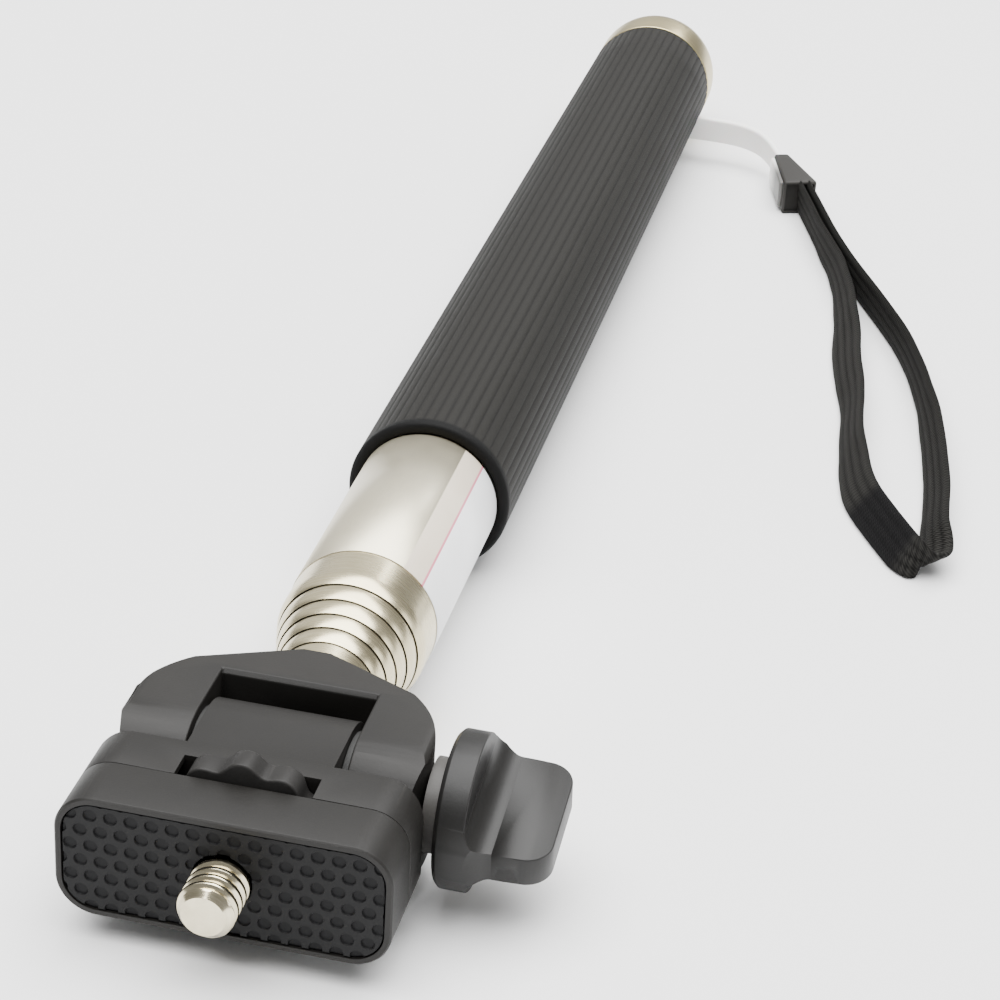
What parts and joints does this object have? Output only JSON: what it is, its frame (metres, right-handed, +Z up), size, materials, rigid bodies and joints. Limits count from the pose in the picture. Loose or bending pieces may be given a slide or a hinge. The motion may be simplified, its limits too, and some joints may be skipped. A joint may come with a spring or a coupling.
{
  "type": "extending camera pole",
  "caption": "Telescopic hand-held camera pole with a ribbed grip, a tilting camera seat clamped by a side knob, a thumbwheel camera screw and a wrist strap.",
  "frame": {"origin": "where the camera screw's axis meets the rubber pad's face", "axes": "+Y runs back along the pole from the camera seat to the grip's end cap, +X points to the clamping knob, and +Z points up from the surface that the pole lies on"},
  "size_m": [0.0838, 0.269, 0.0216],
  "materials": {
    "sleeve_rubber": "matt black rubber foam with fine lengthwise ribs",
    "tube_steel": "bright drawn steel with rolled, polished lips",
    "label_print": "clear and printed film in silver, cream and white bands",
    "cap_metal": "pale warm anodised aluminium",
    "black_nylon": "moulded black nylon",
    "bush_nylon": "thin white nylon strip",
    "zinc_steel": "zinc plated steel",
    "screw_steel": "nickel plated steel with a cut thread",
    "head_plastic": "fine grained black glass-filled plastic",
    "knob_plastic": "fine grained black plastic",
    "wheel_plastic": "black plastic, worn a little on its lobes",
    "pad_rubber": "black rubber with a grid of round dimples",
    "washer_nylon": "light grey nylon",
    "band_plastic": "milky white flexible plastic",
    "crimp_plastic": "moulded black plastic",
    "strap_tape": "ribbed black polyester tape"
  },
  "bodies": {
    "handle": {"grip_sleeve": "sleeve_rubber", "tube_1": "tube_steel", "label_film": "label_print", "end_plug": "black_nylon", "strap_pin": "zinc_steel", "end_cap": "cap_metal", "strap_band": "band_plastic", "strap_crimp": "crimp_plastic", "strap_loop": "strap_tape"},
    "tube_2": {"tube_2": "tube_steel", "bush_2": "bush_nylon"},
    "tube_3": {"tube_3": "tube_steel", "bush_3": "bush_nylon"},
    "tube_4": {"tube_4": "tube_steel", "bush_4": "bush_nylon"},
    "tube_5": {"tube_5": "tube_steel", "bush_5": "bush_nylon"},
    "tube_6": {"tube_6": "tube_steel", "bush_6": "bush_nylon", "pole_plug": "black_nylon", "pole_screw": "zinc_steel"},
    "head": {"fork": "head_plastic", "hinge_bolt": "zinc_steel", "friction_washers": "black_nylon", "knob_washer": "washer_nylon"},
    "knob": {"knob": "knob_plastic", "knob_nut": "zinc_steel"},
    "seat": {"seat_rear": "head_plastic", "seat_front": "head_plastic", "seat_screws": "zinc_steel", "rubber_pad": "pad_rubber"},
    "wheel": {"thumbwheel": "wheel_plastic", "camera_screw": "screw_steel"}
  },
  "joints": [
    {"name": "tube_2_slide", "type": "slide", "parent": "handle", "child": "tube_2", "axis": [0, -1, 0], "range_m": [0, 0.16]},
    {"name": "tube_3_slide", "type": "slide", "parent": "tube_2", "child": "tube_3", "axis": [0, -1, 0], "range_m": [0, 0.16]},
    {"name": "tube_4_slide", "type": "slide", "parent": "tube_3", "child": "tube_4", "axis": [0, -1, 0], "range_m": [0, 0.16]},
    {"name": "tube_5_slide", "type": "slide", "parent": "tube_4", "child": "tube_5", "axis": [0, -1, 0], "range_m": [0, 0.16]},
    {"name": "tube_6_slide", "type": "slide", "parent": "tube_5", "child": "tube_6", "axis": [0, -1, 0], "range_m": [0, 0.16]},
    {"name": "head_swivel", "type": "hinge", "parent": "tube_6", "child": "head", "pos_m": [0, 0.03, 0], "axis": [0, 1, 0], "continuous": true},
    {"name": "head_tilt", "type": "hinge", "parent": "head", "child": "seat", "pos_m": [0, 0.0198, 0], "axis": [1, 0, 0], "range_deg": [-85, 85]},
    {"name": "knob_turn", "type": "hinge", "parent": "head", "child": "knob", "pos_m": [0, 0.0198, 0], "axis": [1, 0, 0], "continuous": true},
    {"name": "wheel_turn", "type": "hinge", "parent": "seat", "child": "wheel", "pos_m": [0, 0.00865, 0], "axis": [0, 1, 0], "continuous": true}
  ]
}
